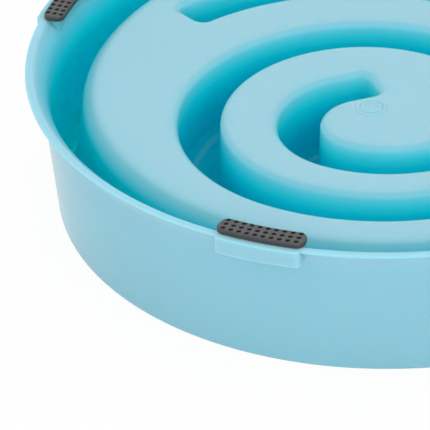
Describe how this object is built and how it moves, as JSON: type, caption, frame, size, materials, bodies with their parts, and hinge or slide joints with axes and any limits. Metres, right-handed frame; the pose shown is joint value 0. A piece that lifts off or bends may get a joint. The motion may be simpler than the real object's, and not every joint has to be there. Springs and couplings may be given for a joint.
{
  "type": "slow feeder bowl",
  "caption": "Round slow feeder bowl with a spiral ridge moulded in its floor, a double wall, a flared standing lip and rubber feet, stored turned over with the feet up.",
  "frame": {"origin": "centre of the mouth rim, in the plane that the turned-over bowl rests on", "axes": "+Z from the mouth rim to the rubber feet, so the bowl is stored turned over as pictured; -Y towards the camera"},
  "size_m": [0.25, 0.25, 0.0532],
  "materials": {
    "shell": "satin, slightly translucent, pale blue",
    "feet": "matt black, dimpled"
  },
  "bodies": {
    "root": {"bowl_shell": "shell", "foot_front": "feet", "foot_right": "feet", "foot_back": "feet", "foot_left": "feet"}
  },
  "joints": []
}
